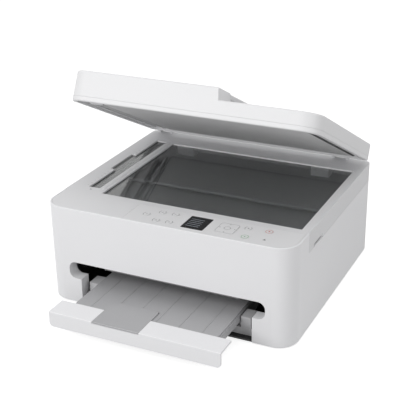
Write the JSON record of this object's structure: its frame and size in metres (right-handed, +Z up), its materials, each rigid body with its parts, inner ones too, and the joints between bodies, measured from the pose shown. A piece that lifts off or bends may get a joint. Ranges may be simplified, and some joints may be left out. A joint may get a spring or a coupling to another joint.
{
  "type": "inkjet printer",
  "caption": "Desktop inkjet printer with a flatbed scanner, a hinged lid with a document feeder, a key panel, a front paper cassette and a sliding output tray.",
  "frame": {"origin": "on the table, under the middle of the body's footprint (the lid and the output tray not counted)", "axes": "+X to the viewer's right, +Y to the rear, +Z up"},
  "size_m": [0.395, 0.4568, 0.3345],
  "materials": {
    "white": "fine satin white moulding",
    "light_grey": "light grey moulding",
    "mid_grey": "grey moulding",
    "dark": "black moulding",
    "steel": "bare sheet steel",
    "rubber": "matt rubber",
    "glass": "clear glass over a dark inside",
    "screen": "glossy dark screen",
    "board": "green board",
    "foam": "soft white pad",
    "key_grey": "grey key",
    "colour": "blue moulding"
  },
  "bodies": {
    "chassis": {"outer_case": "white", "base_tray": "mid_grey", "rubber_feet": "rubber", "inner_frame": "steel", "guide_rail": "steel", "platen": "mid_grey", "exit_guide": "mid_grey", "uturn_guide": "mid_grey", "carriage_motor": "dark", "feed_motor": "dark", "purge_unit": "mid_grey", "power_supply": "dark", "main_board": "board", "carriage_belt": "rubber"},
    "carriage": {"print_carriage": "mid_grey", "black_cartridge": "dark", "color_cartridge": "colour"},
    "cassette": {"paper_cassette": "light_grey"},
    "tray": {"output_tray": "light_grey", "tray_lip": "white"},
    "scanner": {"scanner_frame": "white", "scanner_pan": "mid_grey", "platen_glass": "glass", "feeder_glass": "glass", "operation_panel": "white", "display": "screen", "panel_board": "board"},
    "lid": {"lid_base": "white", "lid_shell": "white", "document_pad": "foam"},
    "black_latch": {"black_latch": "key_grey"},
    "color_latch": {"color_latch": "key_grey"},
    "motor_pulley": {"motor_pulley": "steel"},
    "idler_pulley": {"idler_pulley": "steel"},
    "feed_roller": {"feed_roller": "rubber"},
    "drive_pinion": {"drive_pinion": "dark"},
    "exit_roller": {"exit_roller": "rubber"},
    "pinch_rollers": {"pinch_rollers": "steel"},
    "star_wheels": {"star_wheels": "dark"},
    "pickup_arm": {"pickup_arm": "mid_grey"},
    "pickup_roller": {"pickup_roller": "rubber"},
    "left_paper_guide": {"left_paper_guide": "light_grey"},
    "right_paper_guide": {"right_paper_guide": "light_grey"},
    "paper_support": {"paper_support": "light_grey"},
    "scan_head": {"scan_head": "dark"},
    "navigation_pad": {"navigation_pad": "key_grey"},
    "ok_key": {"ok_key": "key_grey"},
    "feeder_cover": {"feeder_cover": "white"},
    "feeder_roller": {"feeder_roller": "rubber"},
    "document_tray": {"document_tray": "light_grey"},
    "front_document_guide": {"front_document_guide": "light_grey"},
    "rear_document_guide": {"rear_document_guide": "light_grey"},
    "mode_key_1": {"mode_key_1": "key_grey"},
    "mode_key_2": {"mode_key_2": "key_grey"},
    "mode_key_3": {"mode_key_3": "key_grey"},
    "mode_key_4": {"mode_key_4": "key_grey"},
    "mode_key_5": {"mode_key_5": "key_grey"},
    "back_key": {"back_key": "key_grey"},
    "stop_key": {"stop_key": "key_grey"},
    "start_key": {"start_key": "key_grey"}
  },
  "joints": [
    {"name": "scanner_lift", "type": "hinge", "parent": "chassis", "child": "scanner", "pos_m": [0, 0.167, 0.1364], "axis": [-1, 0, 0], "range_deg": [0, 35]},
    {"name": "lid_swing", "type": "hinge", "parent": "scanner", "child": "lid", "pos_m": [0, 0.175, 0.163], "axis": [-1, 0, 0], "range_deg": [-27, 38]},
    {"name": "feeder_cover_swing", "type": "hinge", "parent": "lid", "child": "feeder_cover", "pos_m": [-0.175, 0.03387, 0.27149], "axis": [0, -0.891, 0.454], "range_deg": [0, 65]},
    {"name": "feeder_roller_spin", "type": "hinge", "parent": "lid", "child": "feeder_roller", "pos_m": [-0.06, 0.02725, 0.25849], "axis": [0, 0.891, -0.454], "continuous": true},
    {"name": "document_tray_swing", "type": "hinge", "parent": "lid", "child": "document_tray", "pos_m": [0.0523, 0.02645, 0.25693], "axis": [0, -0.891, 0.454], "range_deg": [0, 25]},
    {"name": "front_document_guide_slide", "type": "slide", "parent": "document_tray", "child": "front_document_guide", "axis": [0, 0.891, -0.454], "range_m": [0, 0.06]},
    {"name": "rear_document_guide_slide", "type": "slide", "parent": "document_tray", "child": "rear_document_guide", "axis": [0, -0.891, 0.454], "range_m": [0, 0.06]},
    {"name": "scan_head_slide", "type": "slide", "parent": "scanner", "child": "scan_head", "axis": [1, 0, 0], "range_m": [0, 0.325]},
    {"name": "mode_key_1_press", "type": "slide", "parent": "scanner", "child": "mode_key_1", "axis": [0, 0, -1], "range_m": [0, 0.0006], "stiffness_N_per_m": 1000},
    {"name": "mode_key_2_press", "type": "slide", "parent": "scanner", "child": "mode_key_2", "axis": [0, 0, -1], "range_m": [0, 0.0006], "stiffness_N_per_m": 1000},
    {"name": "mode_key_3_press", "type": "slide", "parent": "scanner", "child": "mode_key_3", "axis": [0, 0, -1], "range_m": [0, 0.0006], "stiffness_N_per_m": 1000},
    {"name": "mode_key_4_press", "type": "slide", "parent": "scanner", "child": "mode_key_4", "axis": [0, 0, -1], "range_m": [0, 0.0006], "stiffness_N_per_m": 1000},
    {"name": "mode_key_5_press", "type": "slide", "parent": "scanner", "child": "mode_key_5", "axis": [0, 0, -1], "range_m": [0, 0.0006], "stiffness_N_per_m": 1000},
    {"name": "back_key_press", "type": "slide", "parent": "scanner", "child": "back_key", "axis": [0, 0, -1], "range_m": [0, 0.0006], "stiffness_N_per_m": 1000},
    {"name": "stop_key_press", "type": "slide", "parent": "scanner", "child": "stop_key", "axis": [0, 0, -1], "range_m": [0, 0.0006], "stiffness_N_per_m": 1000},
    {"name": "start_key_press", "type": "slide", "parent": "scanner", "child": "start_key", "axis": [0, 0, -1], "range_m": [0, 0.0006], "stiffness_N_per_m": 1000},
    {"name": "navigation_pad_press", "type": "slide", "parent": "scanner", "child": "navigation_pad", "axis": [0, 0, -1], "range_m": [0, 0.0006], "stiffness_N_per_m": 1000},
    {"name": "ok_key_press", "type": "slide", "parent": "scanner", "child": "ok_key", "axis": [0, 0, -1], "range_m": [0, 0.0006], "stiffness_N_per_m": 1000},
    {"name": "cassette_slide", "type": "slide", "parent": "chassis", "child": "cassette", "axis": [0, -1, 0], "range_m": [0, 0.2]},
    {"name": "left_paper_guide_slide", "type": "slide", "parent": "cassette", "child": "left_paper_guide", "axis": [1, 0, 0], "range_m": [0, 0.05]},
    {"name": "right_paper_guide_slide", "type": "slide", "parent": "cassette", "child": "right_paper_guide", "axis": [-1, 0, 0], "range_m": [0, 0.05]},
    {"name": "tray_slide", "type": "slide", "parent": "cassette", "child": "tray", "axis": [0, 1, 0], "range_m": [0, 0.095]},
    {"name": "paper_support_swing", "type": "hinge", "parent": "tray", "child": "paper_support", "pos_m": [0, -0.2705, 0.0384], "axis": [1, 0, 0], "range_deg": [0, 170]},
    {"name": "carriage_slide", "type": "slide", "parent": "chassis", "child": "carriage", "axis": [-1, 0, 0], "range_m": [0, 0.25]},
    {"name": "black_latch_swing", "type": "hinge", "parent": "carriage", "child": "black_latch", "pos_m": [0.102, -0.0143, 0.11], "axis": [-1, 0, 0], "range_deg": [0, 22]},
    {"name": "color_latch_swing", "type": "hinge", "parent": "carriage", "child": "color_latch", "pos_m": [0.15, -0.0143, 0.11], "axis": [-1, 0, 0], "range_deg": [0, 22]},
    {"name": "motor_pulley_spin", "type": "hinge", "parent": "chassis", "child": "motor_pulley", "pos_m": [0.16, 0.022, 0.084], "axis": [0, 1, 0], "continuous": true},
    {"name": "idler_pulley_spin", "type": "hinge", "parent": "chassis", "child": "idler_pulley", "pos_m": [-0.16, 0.022, 0.084], "axis": [0, 1, 0], "continuous": true},
    {"name": "feed_roller_spin", "type": "hinge", "parent": "chassis", "child": "feed_roller", "pos_m": [0, 0, 0.06], "axis": [1, 0, 0], "continuous": true},
    {"name": "drive_pinion_spin", "type": "hinge", "parent": "chassis", "child": "drive_pinion", "pos_m": [-0.1818, -0.01183, 0.03462], "axis": [1, 0, 0], "continuous": true},
    {"name": "exit_roller_spin", "type": "hinge", "parent": "chassis", "child": "exit_roller", "pos_m": [0, -0.1, 0.05], "axis": [1, 0, 0], "continuous": true},
    {"name": "pinch_rollers_spin", "type": "hinge", "parent": "chassis", "child": "pinch_rollers", "pos_m": [0, 0.002, 0.06944], "axis": [1, 0, 0], "continuous": true},
    {"name": "star_wheels_spin", "type": "hinge", "parent": "chassis", "child": "star_wheels", "pos_m": [0, -0.1, 0.05965], "axis": [1, 0, 0], "continuous": true},
    {"name": "pickup_arm_swing", "type": "hinge", "parent": "chassis", "child": "pickup_arm", "pos_m": [0, 0.06, 0.05], "axis": [1, 0, 0], "range_deg": [0, 20]},
    {"name": "pickup_roller_spin", "type": "hinge", "parent": "pickup_arm", "child": "pickup_roller", "pos_m": [0, 0.0788, 0.0193], "axis": [1, 0, 0], "continuous": true}
  ],
  "couplings": [
    {"joint": "motor_pulley_spin", "follows": "carriage_slide", "rad_per_m": -153.85},
    {"joint": "idler_pulley_spin", "follows": "carriage_slide", "rad_per_m": -153.85},
    {"joint": "drive_pinion_spin", "follows": "feed_roller_spin", "ratio": -3.6667},
    {"joint": "exit_roller_spin", "follows": "feed_roller_spin", "ratio": 1},
    {"joint": "pinch_rollers_spin", "follows": "feed_roller_spin", "ratio": -1.375},
    {"joint": "star_wheels_spin", "follows": "feed_roller_spin", "ratio": -1.375},
    {"joint": "right_paper_guide_slide", "follows": "left_paper_guide_slide", "ratio": 1},
    {"joint": "rear_document_guide_slide", "follows": "front_document_guide_slide", "ratio": 1}
  ]
}
